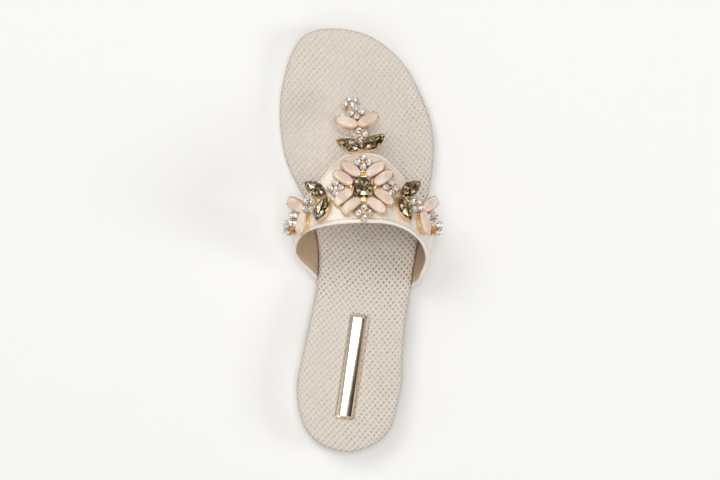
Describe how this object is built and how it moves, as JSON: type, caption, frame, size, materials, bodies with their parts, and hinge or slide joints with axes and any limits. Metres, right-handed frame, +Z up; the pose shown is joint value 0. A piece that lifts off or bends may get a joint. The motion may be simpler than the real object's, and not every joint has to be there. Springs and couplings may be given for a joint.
{
  "type": "embellished thong slide",
  "caption": "Right-foot flat thong slide: arched strap and clear toe post under a stone-set metal ornament, padded lattice footbed with a plain inset bar, rubber sole with low heel.",
  "frame": {"origin": "centre of the model's box in plan, at the ground under heel and ball", "axes": "+Y from heel to toe, +X to the outer side of the right foot, +Z up"},
  "size_m": [0.0938, 0.248, 0.0652],
  "materials": {
    "rubber": "matt moulded rubber, light tan",
    "lattice_cloth": "cream lattice-woven cover with taupe pits, soft sheen",
    "patent_leather": "cream patent, soft gloss, tan lining",
    "clear_vinyl": "clear flexible vinyl, glossy",
    "pale_metal": "polished pale gold plate, bevelled",
    "gold_metal": "polished warm gold settings",
    "pink_opal": "milky pink resin stone, bevelled, glossy",
    "smoky_glass": "dark smoky faceted glass, foiled",
    "crystal": "clear faceted crystal, foiled"
  },
  "bodies": {
    "root": {"outsole": "rubber", "footbed": "lattice_cloth", "strap": "patent_leather", "toe_post": "clear_vinyl", "inset_bar": "pale_metal", "flower_frame": "gold_metal", "toe_arm_frame": "gold_metal", "medial_arm_frame": "gold_metal", "lateral_arm_frame": "gold_metal", "centre_stone": "smoky_glass", "petal_1": "pink_opal", "petal_2": "pink_opal", "petal_3": "pink_opal", "petal_4": "pink_opal", "petal_5": "pink_opal", "petal_6": "pink_opal", "petal_7": "pink_opal", "petal_8": "pink_opal", "smoky_stone_toe_1": "smoky_glass", "smoky_stone_toe_2": "smoky_glass", "smoky_stone_medial_1": "smoky_glass", "smoky_stone_medial_2": "smoky_glass", "smoky_stone_lateral_1": "smoky_glass", "smoky_stone_lateral_2": "smoky_glass", "pink_stone_toe_1": "pink_opal", "pink_stone_toe_2": "pink_opal", "pink_stone_medial_1": "pink_opal", "pink_stone_medial_2": "pink_opal", "pink_stone_lateral_1": "pink_opal", "pink_stone_lateral_2": "pink_opal", "crystal_cluster_flower_1": "crystal", "crystal_cluster_flower_2": "crystal", "crystal_cluster_flower_3": "crystal", "crystal_cluster_flower_4": "crystal", "crystal_cluster_toe_1": "crystal", "crystal_cluster_toe_2": "crystal", "crystal_cluster_toe_3": "crystal", "crystal_cluster_medial_1": "crystal", "crystal_cluster_medial_2": "crystal", "crystal_cluster_medial_3": "crystal", "crystal_cluster_lateral_1": "crystal", "crystal_cluster_lateral_2": "crystal", "crystal_cluster_lateral_3": "crystal"}
  },
  "joints": []
}
